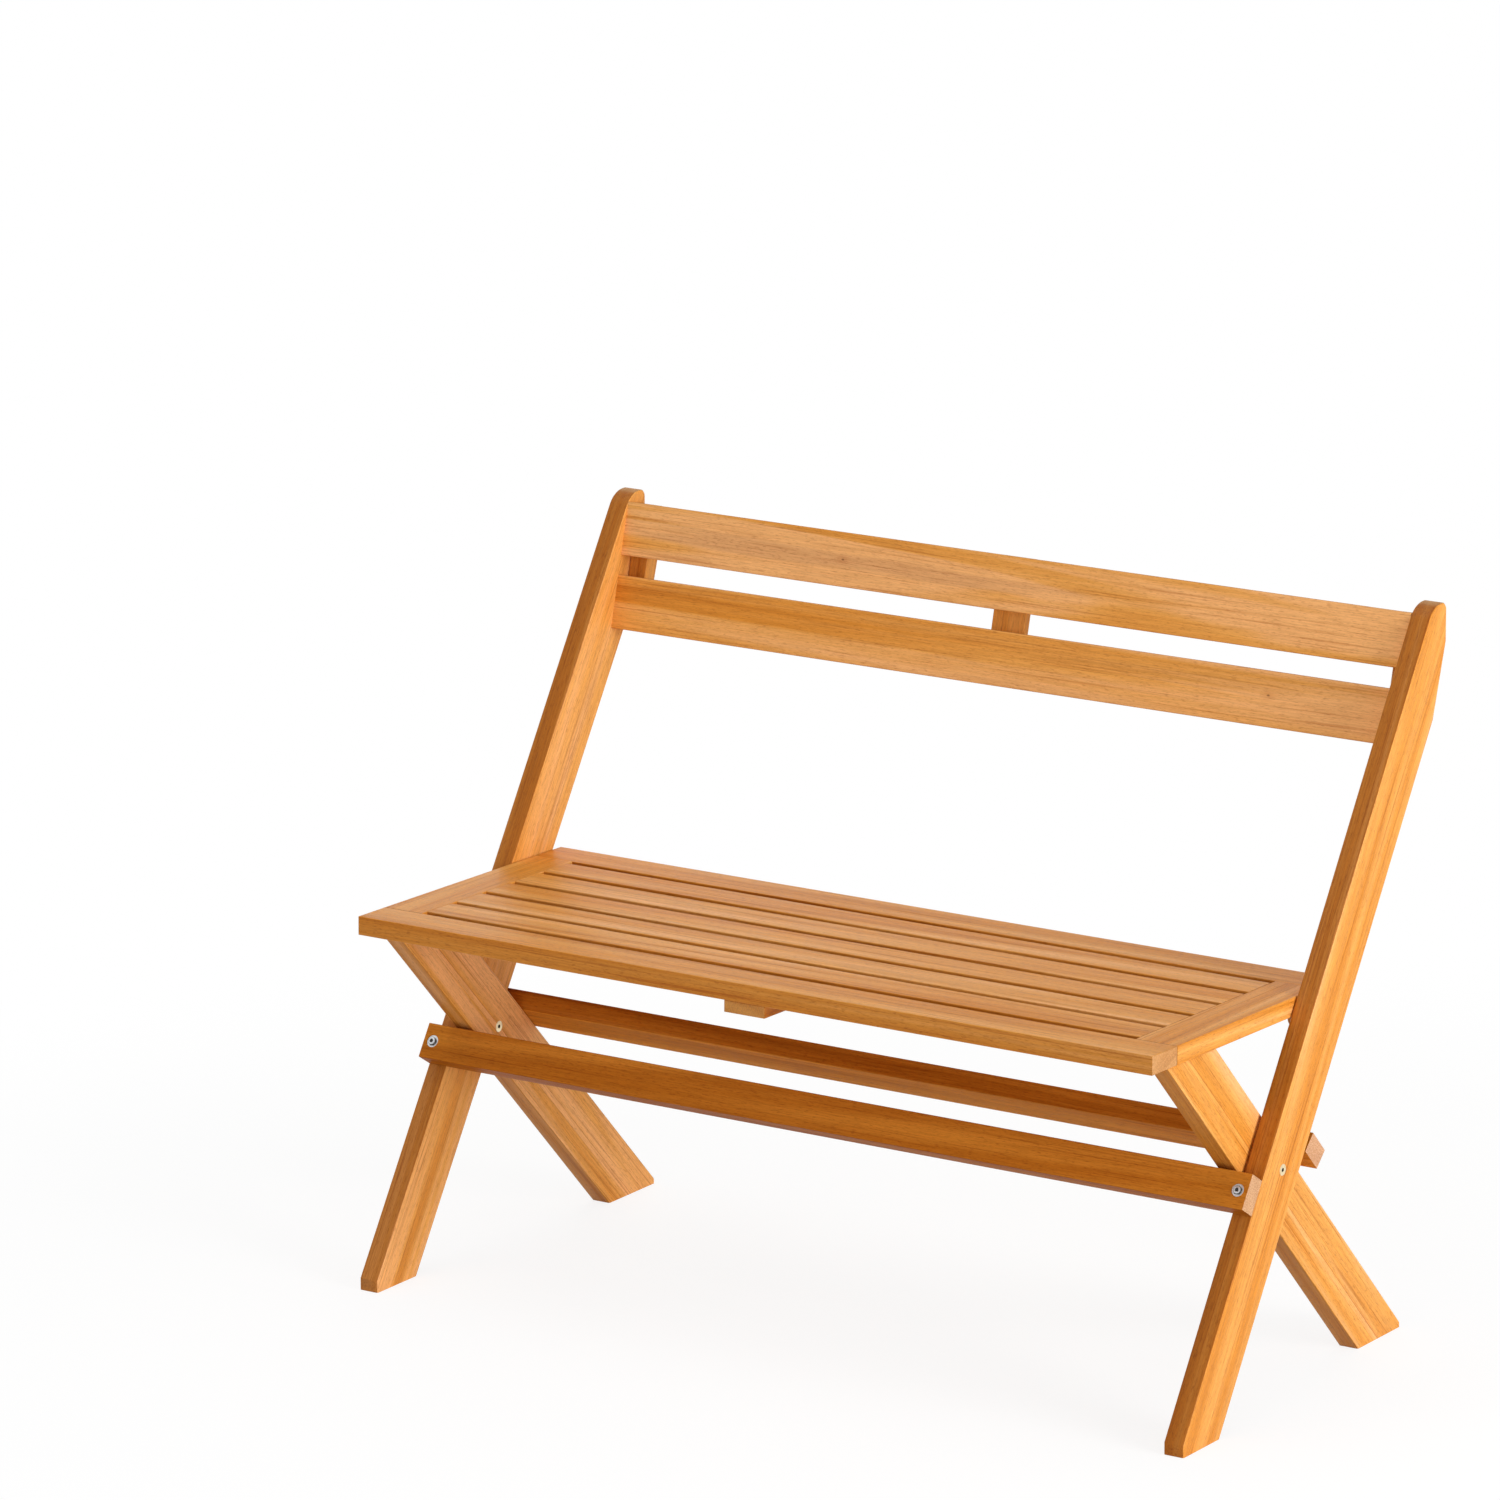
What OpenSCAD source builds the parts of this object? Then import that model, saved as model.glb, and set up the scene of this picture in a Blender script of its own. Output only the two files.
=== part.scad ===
// Folding bench with crossed legs, slatted seat and slatted back, in its open state.
// X runs along the bench, the front faces -Y and Z is up. The origin is on the floor,
// at the middle of the bench in X and Y. Lengths are in millimetres, angles in degrees.

/* [Overall] */
// Width over the ends of the two stretchers
bench_w = 1100; // [800:10:1500]
// Height of the post tops above the floor
bench_h = 840; // [810:5:880]
// Height of the two fold pivots above the floor
pivot_h = 272; // [262:1:282]
// Lean of the posts, back from upright
post_lean = 32.6; // [31.5:0.1:33.5]
// Lean of the legs, forward from upright
leg_lean = 44.3; // [43:0.1:45.5]

/* [Posts] */
// Thickness of a post
post_t = 25; // [22:0.5:30]
// Width of a post, across its side face
post_w = 72.5; // [68:0.5:78]
// Length of floor cut away at the sharp toe
post_toe = 9; // [4:0.5:14]
// Drop from the post top to the bend in its rear edge
shoulder_drop = 130; // [110:5:150]
// Drop from the post top to the upright part of its rear edge
crown_drop = 45; // [40:1:60]
// Depth of the post at its top, front to back
crown_d = 30; // [27:0.5:34]
// Radius of the front top corner
crown_front_r = 30; // [10:1:32]
// Radius of the rear top corner
crown_back_r = 9; // [4:0.5:10]

/* [Legs] */
// Thickness of a leg
leg_t = 25; // [22:0.5:30]
// Width of a leg, across its side face
leg_w = 72.5; // [68:0.5:78]
// Distance from the pivot to the middle of the leg's width
leg_offset = 4.5; // [2:0.5:7]
// Length of floor cut away at the sharp heel
leg_toe = 6; // [3:0.5:12]

/* [Stretchers] */
// Thickness of both stretchers
stretcher_t = 25; // [20:0.5:30]
// Width of the front stretcher
front_stretcher_w = 42; // [34:1:50]
// Width of the rear stretcher
rear_stretcher_w = 38; // [32:1:46]

/* [Seat] */
// Height of the seat's front edge above the floor
seat_h = 455; // [445:1:465]
// Depth of the seat, front to back
seat_d = 402; // [390:1:410]
// Distance of the seat's rear edge behind the hinge axis
seat_tail = 72; // [66:1:76]
// Thickness of the rails and slats of the seat
seat_t = 22; // [20:0.5:26]
// Fall of the seat towards the back
seat_tilt = 1.3; // [0:0.1:3]
// Width of the front and rear rails
seat_rail_w = 52; // [46:1:58]
// Width of the end rails
end_rail_w = 52.5; // [50:0.5:58]
// Width of a slat
slat_w = 48; // [42:1:52]
// Width of the batten under the middle of the seat
seat_batten_w = 54; // [44:1:64]
// Thickness of the batten under the seat
seat_batten_t = 14; // [10:0.5:16]
// Distance of the batten's ends from the front and rear edges of the seat
seat_batten_inset = 1.5; // [0:0.5:10]

/* [Backrest] */
// Lean of the backrest, back from upright
back_lean = 14.7; // [12:0.1:18]
// Drop from the post tops to the front top edge of the upper slat
back_drop = 9; // [6:0.5:14]
// Width of a back slat
back_slat_w = 63; // [54:1:66]
// Gap between the two back slats
back_gap = 23.5; // [18:0.5:28]
// Thickness of a back slat
back_slat_t = 20; // [16:0.5:21]
// Thickness of an end cleat, along the bench
cleat_t = 25; // [20:0.5:30]
// Width of the batten behind the middle of the back
back_batten_w = 44.5; // [36:0.5:60]
// Thickness of the batten behind the back
back_batten_t = 10; // [9:0.5:14]

/* [Seat hinge] */
// Distance of the hinge axis below the underside of the seat
hinge_drop = 6; // [5:0.5:8]
// Diameter of the hinge pins
hinge_pin_d = 8; // [6:0.5:9]
// Depth that a hinge pin enters the post
hinge_pin_in = 16; // [10:1:18]
// Radius of the round end of a hinge block
hinge_boss_r = 13; // [11:0.5:14]
// Thickness of a hinge block, along the bench
hinge_block_t = 14; // [12:0.5:18]
// Distance of a hinge block from the end of the seat
hinge_block_inset = 3; // [2:0.5:6]
// Length of the hinge block's foot ahead of the axis
hinge_foot_l = 60; // [50:1:75]
// Thickness of the hinge block's foot, which is let into the end rail
hinge_foot_t = 6; // [5:0.5:8]
// Wood left above the tips of the hinge block's screws
hinge_screw_web = 4; // [3:0.5:6]

/* [Locating pins] */
// Diameter of the pins on the leg tops
lock_pin_d = 8; // [6:0.5:10]
// Height that a pin stands out of the leg
lock_pin_out = 13; // [8:0.5:15]
// Depth that a pin is set into the leg
lock_pin_in = 22; // [15:1:30]
// Travel that the slot in the seat gives to the pin, front to back
lock_slot_travel = 8; // [6:0.5:12]

/* [Pivot hardware] */
// Outer diameter of the sleeve nut that the leg turns on
sleeve_d = 9; // [8.5:0.5:10]
// Diameter of the flat heads of the nut and the bolt
pivot_head_d = 13; // [12:0.5:16]
// Thickness of those heads
pivot_head_t = 2; // [1.5:0.1:2.5]
// Diameter of the spacer between post and leg
spacer_d = 20; // [16:1:26]
// Thickness of the spacer between post and leg
spacer_t = 3; // [2:0.5:5]

/* [Stretcher hardware] */
// Diameter of all bolt shanks
bolt_d = 6; // [5:0.5:6]
// Diameter of a stretcher bolt's head
bolt_head_d = 9.5; // [8:0.5:12]
// Height of a stretcher bolt's head
bolt_head_h = 3; // [2.5:0.1:4]
// Outer diameter of a stretcher bolt's washer
washer_d = 14.5; // [13:0.5:17]
// Thickness of a stretcher bolt's washer
washer_t = 1.5; // [1:0.1:2]
// Depth of the recess that a washer sits in
recess_depth = 2.2; // [1.5:0.1:3]
// Outer diameter of a threaded insert
insert_d = 10; // [9:0.5:12]
// Length of a threaded insert
insert_l = 15; // [10:1:20]
// Size of every hex socket, across its flats
socket_af = 4; // [3:0.5:4.5]

/* [Joinery] */
// Length of every tenon
tenon_l = 13; // [8:0.5:16]
// Thickness of every tenon
tenon_t = 8; // [6:0.5:9]
// Shoulder on each side of a tenon, across its width
tenon_shoulder = 7; // [5:0.5:9]
// Diameter of the dowels in the back
dowel_d = 8; // [6:0.5:8]
// Depth of a dowel in a slat and in a post
dowel_in = 12; // [9:0.5:13]
// Diameter of the wood screws
screw_d = 3.5; // [3:0.1:4]
// Diameter of the wood screws' heads
screw_head_d = 7; // [6:0.2:8]
// Depth that a wood screw bites into the seat
screw_bite = 13; // [10:0.5:15]
// Radius of the boards' eased edges, and size of the chamfers on posts, legs and cleats
ease = 1.5; // [0.5:0.25:3]

/* [Fits] */
// Radial clearance of pins, bolts, dowels and screws in their holes
pin_fit = 0.05; // [0.02:0.01:0.1]
// Clearance round tenons and below the ends of pins and tenons
tenon_fit = 0.1; // [0.05:0.05:0.3]
// Sideways play between the moving legs and what they run against
side_play = 0.1; // [0.05:0.05:0.3]
// Gap left at the stretchers' stops when the bench is open
stop_gap = 0.3; // [0.1:0.1:1]
// Gap left between the leg tops and the seat
rest_gap = 0.3; // [0.1:0.1:1]
// Gap between each end of the seat and the post beside it
seat_gap = 1; // [0.5:0.1:2]
// Clearance on each side of a locating pin in its slot
lock_fit = 0.4; // [0.2:0.1:0.8]
// Radial clearance round heads and washers in their recesses
head_fit = 0.3; // [0.2:0.1:0.6]

/* [Hidden] */
$fn = 72;
// Number of seat slats, each a node of its own
slat_n = 5;
// Length by which cutting shapes reach past the faces that they cut
over = 1;
// Chamfer on the ends of pins
pin_chamfer = 1;
// Spare depth in blind holes, beyond the end of what they hold
spare_depth = 1;
// Wood left between a dowel and the outer face of the batten behind the back
dowel_web = 2;

wood = "peru";
wood_light = "burlywood";
brass = "palegoldenrod";
zinc = "silver";

function dot(a, b) = a[0] * b[0] + a[1] * b[1];
// Direction in the side view, given as an angle back from upright
function heading(angle) = [sin(angle), cos(angle)];

// Faces along X
half_w = bench_w / 2;
post_in_x = half_w - post_t;
post_mid_x = half_w - post_t / 2;
leg_out_x = post_in_x - spacer_t - side_play;
leg_in_x = leg_out_x - leg_t;
leg_mid_x = leg_out_x - leg_t / 2;
seat_half = post_in_x - seat_gap;
end_rail_in_x = seat_half - end_rail_w;
block_out_x = seat_half - hinge_block_inset;
block_in_x = block_out_x - hinge_block_t;
cleat_in_x = post_in_x - cleat_t;

// Faces across the posts and legs, measured from the pivot, to the rear
post_front = -post_w / 2;
post_rear = post_w / 2;
leg_front = leg_offset - leg_w / 2;
leg_rear = leg_offset + leg_w / 2;

// The hinge axis lies on the post's centre line, just below the seat
hinge_d = seat_d - seat_tail;
hinge_along = (seat_h - pivot_h - hinge_d * sin(seat_tilt) - (seat_t + hinge_drop) * cos(seat_tilt))
    / cos(post_lean);
seat_reach = hinge_d * cos(seat_tilt) - (seat_t + hinge_drop) * sin(seat_tilt)
    - hinge_along * sin(post_lean);

// The depth of the open bench is centred on Y = 0
seat_nose = seat_reach + (seat_t - ease) * sin(seat_tilt) + ease * (1 - cos(seat_tilt));
crown_front = (bench_h - pivot_h) * tan(post_lean) + post_front / cos(post_lean);
pivot_y = (seat_nose - crown_front - crown_d) / 2;
pivot = [pivot_y, pivot_h];
crown_front_y = pivot_y + crown_front;
crown_back_y = crown_front_y + crown_d;

// Points in the side view, as [y, z], from distances along and across each timber
function post_pt(along, across) =
    pivot + along * heading(post_lean) + across * heading(post_lean + 90);
function leg_pt(along, across) =
    pivot + along * heading(-leg_lean) + across * heading(90 - leg_lean);
function post_at(z, across) = post_pt((z - pivot_h + across * sin(post_lean)) / cos(post_lean), across);
function leg_at(z, across) = leg_pt((z - pivot_h - across * sin(leg_lean)) / cos(leg_lean), across);

// Where the faces of post and leg cross, which is where the stretchers stop the fold
cross = post_lean + leg_lean;
front_stop = (leg_front - post_front * cos(cross)) / sin(cross);
rear_stop = (leg_rear * cos(cross) - post_rear) / sin(cross);
front_bolt_along = front_stop - stop_gap - front_stretcher_w / 2;
rear_bolt_along = rear_stop - stop_gap - rear_stretcher_w / 2;

// The seat, with its origin on the top of the front edge
seat_y = pivot_y - seat_reach;
seat_origin = [seat_y, seat_h];
seat_up = heading(seat_tilt);
seat_back = heading(seat_tilt + 90);
seat_w = 2 * seat_half;
slat_len = 2 * end_rail_in_x;
slat_gap = (seat_d - 2 * seat_rail_w - slat_n * slat_w) / (slat_n + 1);
end_rail_len = seat_d - 2 * seat_rail_w;
batten_screw_n = slat_n + 2;

hinge = post_pt(hinge_along, 0);
hinge_screw_ds = [hinge_d - hinge_foot_l + hinge_boss_r / 2, hinge_d - hinge_boss_r - screw_head_d];

// The leg tops lie just under the seat
function leg_top(across) = (dot(seat_origin - pivot, seat_up) - seat_t - rest_gap
    - across * sin(leg_lean + seat_tilt)) / cos(leg_lean + seat_tilt);
leg_top_mid = (leg_pt(leg_top(leg_front), leg_front) + leg_pt(leg_top(leg_rear), leg_rear)) / 2;
lock_d = dot(leg_top_mid - seat_origin, seat_back);

// The backrest, with its origin on the front top edge of the upper slat
back_origin = post_at(bench_h - back_drop, post_front);
back_h = 2 * back_slat_w + back_gap;
back_dowel_pitch = back_slat_w / 2;

socket_r = socket_af / 2 / cos(30);

// Frames that carry a timber's own axes: Y across it or to the rear, Z along it or up
module in_post() {
    translate([0, pivot_y, pivot_h]) rotate([-post_lean, 0, 0]) children();
}

module in_leg() {
    translate([0, pivot_y, pivot_h]) rotate([leg_lean, 0, 0]) children();
}

module in_seat() {
    translate([0, seat_y, seat_h]) rotate([-seat_tilt, 0, 0]) children();
}

module in_back() {
    translate([0, back_origin[0], back_origin[1]]) rotate([-back_lean, 0, 0]) children();
}

// Everything on the right is drawn once and mirrored to the left
module on_left() {
    mirror([1, 0, 0]) children();
}

module on_both() {
    children();
    on_left() children();
}

// A plate drawn in the side view, from one X to a greater one
module plate(x0, x1) {
    translate([x0, 0, 0]) rotate([90, 0, 90]) linear_extrude(x1 - x0) children();
}

// A round bar along X, through a point of the side view
module bar(x0, x1, pt, r) {
    translate([x0, pt[0], pt[1]]) rotate([0, 90, 0]) cylinder(h = x1 - x0, r = r);
}

module eased_rect(a, b) {
    square([a - 2 * ease, b], center = true);
    square([a, b - 2 * ease], center = true);
    for (i = [-1, 1], j = [-1, 1])
        translate([i * (a / 2 - ease), j * (b / 2 - ease)]) circle(ease);
}

// A board along X with eased long edges, between two faces in Y and two in Z
module board(len, y0, y1, z0, z1) {
    translate([-len / 2, (y0 + y1) / 2, (z0 + z1) / 2])
        rotate([90, 0, 90]) linear_extrude(len) eased_rect(y1 - y0, z1 - z0);
}

// The same board with its ends eased too
module free_board(len, y0, y1, z0, z1) {
    intersection() {
        board(len, y0, y1, z0, z1);
        translate([0, (y0 + y1) / 2, z0]) linear_extrude(z1 - z0) eased_rect(len, y1 - y0);
        translate([0, y1, (z0 + z1) / 2]) rotate([90, 0, 0])
            linear_extrude(y1 - y0) eased_rect(len, z1 - z0);
    }
}

// What is cut from the two edges of a plate's side to chamfer them: X points out of the
// side, which lies at X = r, and Y is along the bench, between the plate's faces
module edge_waste(x0, x1, r) {
    for (face = [[x0, 1], [x1, -1]]) polygon([
        [r - ease - over, face[0] - face[1] * over], [r + over, face[0] + face[1] * (ease + over)],
        [r + over, face[0] - face[1] * over]
    ]);
}

// Chamfers the straight side of a plate from p to q, with the plate on the right of the way
module side_waste(x0, x1, p, q) {
    way = atan2(q[0] - p[0], q[1] - p[1]);
    translate([0, p[0], p[1]]) rotate([-way, 0, 0]) translate([0, 0, -over])
        rotate([0, 0, -90]) linear_extrude(norm(q - p) + 2 * over) edge_waste(x0, x1, 0);
}

// A plate of a convex outline, given clockwise as seen with the front on the left. Its
// edges are chamfered, apart from those of a sole, which stands on the floor
module eased_plate(x0, x1, pts) {
    difference() {
        plate(x0, x1) polygon(pts);
        for (i = [0:len(pts) - 1]) {
            next = pts[(i + 1) % len(pts)];
            if (max(pts[i][1], next[1]) > ease) side_waste(x0, x1, pts[i], next);
        }
    }
}

// What is cut from a corner p to round it with a chamfered edge, between two headings
// of the round's radius
module corner_waste(x0, x1, p, from, to, r) {
    c = p - heading((from + to) / 2) * r / cos((to - from) / 2);
    reach = r + over;
    difference() {
        plate(x0 - over, x1 + over) polygon([
            c, c + reach * heading(from), c + reach * heading((from + to) / 2) / cos((to - from) / 2),
            c + reach * heading(to)
        ]);
        bar(x0 - 2 * over, x1 + 2 * over, c, r);
    }
    translate([0, c[0], c[1]]) rotate([-to, 0, 0]) rotate([0, -90, 180])
        rotate_extrude(angle = to - from) edge_waste(x0, x1, r);
}

// Where the line through p along u meets the line through q along v
function meet(p, u, q, v) =
    p + u * ((q[0] - p[0]) * v[1] - (q[1] - p[1]) * v[0]) / (u[0] * v[1] - u[1] * v[0]);

// Pin along Z with chamfered ends, standing on z = 0
module pin(len, d) {
    rotate_extrude() polygon([
        [0, 0], [d / 2 - pin_chamfer, 0], [d / 2, pin_chamfer],
        [d / 2, len - pin_chamfer], [d / 2 - pin_chamfer, len], [0, len]
    ]);
}

module hex_socket(depth) {
    translate([0, 0, -depth]) cylinder(h = depth + over, r = socket_r, $fn = 6);
}

// Countersunk wood screw that points up, with the flat of its head on z = 0
module wood_screw(len) {
    difference() {
        screw_solid(len, 0);
        for (turn = [0, 90]) rotate([0, 0, turn])
            translate([-screw_d / 2, -screw_d / 8, -over]) cube([screw_d, screw_d / 4, over + screw_d / 3]);
    }
}

module screw_solid(len, fit) {
    cylinder(h = len + fit, r = screw_d / 2 + fit);
    cylinder(h = (screw_head_d - screw_d) / 2, r1 = screw_head_d / 2 + fit, r2 = screw_d / 2 + fit);
}

// Outlines in the side view, clockwise as seen with the front on the left
toe_y = post_at(0, post_front)[0] + post_toe;
shoulder = post_at(bench_h - shoulder_drop, post_rear);
crown_bend = [crown_back_y, bench_h - crown_drop];
crown_front_pt = [crown_front_y, bench_h];
crown_back_pt = [crown_back_y, bench_h];
post_pts = [
    [toe_y, 0], [toe_y, post_toe / tan(post_lean)], crown_front_pt, crown_back_pt,
    crown_bend, shoulder, post_at(0, post_rear)
];

heel_y = leg_at(0, leg_rear)[0] - leg_toe;
leg_pts = [
    leg_at(0, leg_front), leg_pt(leg_top(leg_front), leg_front), leg_pt(leg_top(leg_rear), leg_rear),
    [heel_y, leg_toe / tan(leg_lean)], [heel_y, 0]
];

// The cleat fills the space between the slats and the post's rear edge
cleat_top = back_origin + back_slat_t * heading(back_lean + 90);
cleat_foot = cleat_top - back_h * heading(back_lean);
cleat_pts = [
    cleat_foot, cleat_top, meet(cleat_top, heading(back_lean + 90), crown_bend, heading(0)),
    crown_bend, shoulder, meet(cleat_foot, heading(back_lean + 90), shoulder, heading(post_lean))
];

// The places of the bolts: Z points out of the stretcher, from its outer face
module at_front_bolt() {
    in_post() translate([post_mid_x, post_front - stretcher_t, front_bolt_along])
        rotate([90, 0, 0]) children();
}

module at_rear_bolt() {
    in_leg() translate([leg_mid_x, leg_rear + stretcher_t, rear_bolt_along]) rotate([-90, 0, 0]) children();
}

module bolt_hole() {
    translate([0, 0, -recess_depth]) cylinder(h = recess_depth + over, r = washer_d / 2 + head_fit);
    translate([0, 0, -stretcher_t - over]) cylinder(h = stretcher_t + over, r = bolt_d / 2 + head_fit);
}

module insert_hole() {
    translate([0, 0, -stretcher_t - insert_l]) cylinder(h = insert_l + over, r = insert_d / 2 + pin_fit);
    translate([0, 0, -stretcher_t - insert_l - spare_depth])
        cylinder(h = insert_l, r = bolt_d / 2 + head_fit);
}

module stretcher_bolt() {
    seat_z = washer_t - recess_depth;
    dome = bolt_head_h / 3;
    difference() {
        union() {
            translate([0, 0, -stretcher_t - insert_l])
                cylinder(h = stretcher_t + insert_l + seat_z, r = bolt_d / 2);
            translate([0, 0, seat_z]) rotate_extrude() polygon([
                [0, 0], [bolt_head_d / 2, 0], [bolt_head_d / 2, bolt_head_h - dome],
                [bolt_head_d / 2 - dome, bolt_head_h], [0, bolt_head_h]
            ]);
        }
        translate([0, 0, seat_z + bolt_head_h]) hex_socket(bolt_head_h);
    }
}

module washer() {
    translate([0, 0, -recess_depth]) difference() {
        cylinder(h = washer_t, r = washer_d / 2);
        translate([0, 0, -over]) cylinder(h = washer_t + 2 * over, r = bolt_d / 2 + head_fit);
    }
}

module threaded_insert() {
    translate([0, 0, -stretcher_t - insert_l]) difference() {
        cylinder(h = insert_l, r = insert_d / 2);
        translate([0, 0, -over]) cylinder(h = insert_l + 2 * over, r = bolt_d / 2 + pin_fit);
    }
}

// Shaped post that leans back from the floor to the top of the backrest
module post() {
    color(wood) difference() {
        eased_plate(post_in_x, half_w, post_pts);
        corner_waste(post_in_x, half_w, crown_front_pt, post_lean - 90, 0, crown_front_r);
        corner_waste(post_in_x, half_w, crown_back_pt, 0, 90, crown_back_r);
        bar(post_in_x - over, half_w + over, pivot, sleeve_d / 2 + pin_fit);
        bar(half_w - pivot_head_t, half_w + over, pivot, pivot_head_d / 2 + head_fit);
        bar(post_in_x - over, post_in_x + hinge_pin_in + spare_depth, hinge, hinge_pin_d / 2 + pin_fit);
        at_front_bolt() insert_hole();
        in_back() cleat_dowel_holes();
    }
}

// Leg that crosses the post and carries the front of the seat
module leg() {
    color(wood) difference() {
        eased_plate(leg_in_x, leg_out_x, leg_pts);
        bar(leg_in_x - over, leg_out_x + over, pivot, sleeve_d / 2 + pin_fit);
        bar(leg_in_x - over, leg_in_x + pivot_head_t + side_play, pivot, pivot_head_d / 2 + head_fit);
        in_seat() translate([leg_mid_x, lock_d, -seat_t - rest_gap - lock_pin_in - tenon_fit])
            cylinder(h = lock_pin_in + spare_depth, r = lock_pin_d / 2 + pin_fit);
        at_rear_bolt() insert_hole();
    }
}

module front_stretcher() {
    color(wood) difference() {
        in_post() free_board(bench_w, post_front - stretcher_t, post_front,
            front_stop - stop_gap - front_stretcher_w, front_stop - stop_gap);
        on_both() at_front_bolt() bolt_hole();
    }
}

module rear_stretcher() {
    color(wood) difference() {
        in_leg() free_board(bench_w, leg_rear, leg_rear + stretcher_t,
            rear_stop - stop_gap - rear_stretcher_w, rear_stop - stop_gap);
        on_both() at_rear_bolt() bolt_hole();
    }
}

// Sleeve nut through post, spacer and leg, with its flat head let into the post
module pivot_nut() {
    sleeve_end = leg_in_x + pivot_head_t + 2 * side_play;
    bolt_end = sleeve_end + leg_t + spacer_t;
    color(brass) difference() {
        union() {
            bar(half_w - pivot_head_t, half_w, pivot, pivot_head_d / 2);
            bar(sleeve_end, half_w - pivot_head_t, pivot, sleeve_d / 2);
        }
        bar(sleeve_end - over, bolt_end + spare_depth, pivot, bolt_d / 2 + pin_fit);
        translate([half_w, pivot_y, pivot_h]) rotate([0, 90, 0]) hex_socket(2 * pivot_head_t);
    }
}

// Bolt that screws into the sleeve nut from the inner side of the leg
module pivot_bolt() {
    bolt_end = leg_in_x + pivot_head_t + leg_t + spacer_t;
    color(brass) difference() {
        union() {
            bar(leg_in_x, leg_in_x + pivot_head_t, pivot, pivot_head_d / 2);
            bar(leg_in_x + pivot_head_t, bolt_end, pivot, bolt_d / 2);
        }
        translate([leg_in_x, pivot_y, pivot_h]) rotate([0, -90, 0]) hex_socket(2 * pivot_head_t);
    }
}

module pivot_spacers() {
    color(zinc) on_both() difference() {
        bar(post_in_x - spacer_t, post_in_x, pivot, spacer_d / 2);
        bar(post_in_x - spacer_t - over, post_in_x + over, pivot, sleeve_d / 2 + pin_fit);
    }
}

// Steel pin in the leg top, which enters the slot under the seat's end rail
module locating_pin() {
    color(zinc) in_seat() translate([leg_mid_x, lock_d, -seat_t - rest_gap - lock_pin_in])
        pin(lock_pin_in + lock_pin_out, lock_pin_d);
}

// Slot for the locating pin, long enough for the pin to slide while the seat lifts
module locating_slot() {
    r = lock_pin_d / 2 + lock_fit;
    depth = lock_pin_out - rest_gap + spare_depth;
    translate([leg_mid_x, lock_d, -seat_t - over]) {
        cylinder(h = depth + over, r = r);
        translate([0, lock_slot_travel, 0]) cylinder(h = depth + over, r = r);
        translate([-r, 0, 0]) cube([2 * r, lock_slot_travel, depth + over]);
    }
}

// A tenon that points along Y from its shoulder, or with grown = tenon_fit its mortise
module tenon(width, grown) {
    translate([-width / 2 - grown, -over, -tenon_t / 2 - grown])
        cube([width + 2 * grown, tenon_l + grown + over, tenon_t + 2 * grown]);
}

module end_rail_tenons(grown) {
    translate([seat_half - end_rail_w / 2, 0, -seat_t / 2]) {
        translate([0, seat_d - seat_rail_w, 0]) tenon(end_rail_w - 2 * tenon_shoulder, grown);
        translate([0, seat_rail_w, 0]) rotate([0, 0, 180]) tenon(end_rail_w - 2 * tenon_shoulder, grown);
    }
}

function slat_mid(i) = seat_rail_w + slat_gap * (i + 1) + slat_w * (i + 0.5);

module slat_tenon(i, grown) {
    translate([end_rail_in_x, slat_mid(i), -seat_t / 2]) rotate([0, 0, -90])
        tenon(slat_w - 2 * tenon_shoulder, grown);
}

module seat_rail(y0) {
    color(wood) in_seat() difference() {
        free_board(seat_w, y0, y0 + seat_rail_w, -seat_t, 0);
        on_both() end_rail_tenons(tenon_fit);
        on_both() locating_slot();
        batten_screws_cut();
    }
}

module seat_end_rail() {
    color(wood) in_seat() difference() {
        union() {
            translate([seat_half - end_rail_w / 2, seat_d / 2, 0]) rotate([0, 0, 90])
                board(end_rail_len, -end_rail_w / 2, end_rail_w / 2, -seat_t, 0);
            end_rail_tenons(0);
        }
        for (i = [0:slat_n - 1]) slat_tenon(i, tenon_fit);
        locating_slot();
        hinge_housing();
        hinge_screws_cut();
    }
}

module seat_slat(i) {
    color(wood_light) in_seat() difference() {
        union() {
            board(slat_len, slat_mid(i) - slat_w / 2, slat_mid(i) + slat_w / 2, -seat_t, 0);
            on_both() slat_tenon(i, 0);
        }
        batten_screws_cut();
    }
}

// Screws through the batten: one into each rail and each slat
function batten_screw_y(k) =
    k == 0 ? seat_rail_w / 2 : k == batten_screw_n - 1 ? seat_d - seat_rail_w / 2 : slat_mid(k - 1);

module at_batten_screws() {
    for (k = [0:batten_screw_n - 1])
        translate([0, batten_screw_y(k), -seat_t - seat_batten_t]) children();
}

module batten_screws_cut() {
    at_batten_screws() screw_solid(seat_batten_t + screw_bite, pin_fit);
}

module seat_batten() {
    color(wood) in_seat() difference() {
        translate([0, seat_d / 2, 0]) rotate([0, 0, 90]) free_board(seat_d - 2 * seat_batten_inset,
            -seat_batten_w / 2, seat_batten_w / 2, -seat_t - seat_batten_t, -seat_t);
        batten_screws_cut();
    }
}

module seat_batten_screws() {
    color(zinc) in_seat() at_batten_screws() wood_screw(seat_batten_t + screw_bite);
}

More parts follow.
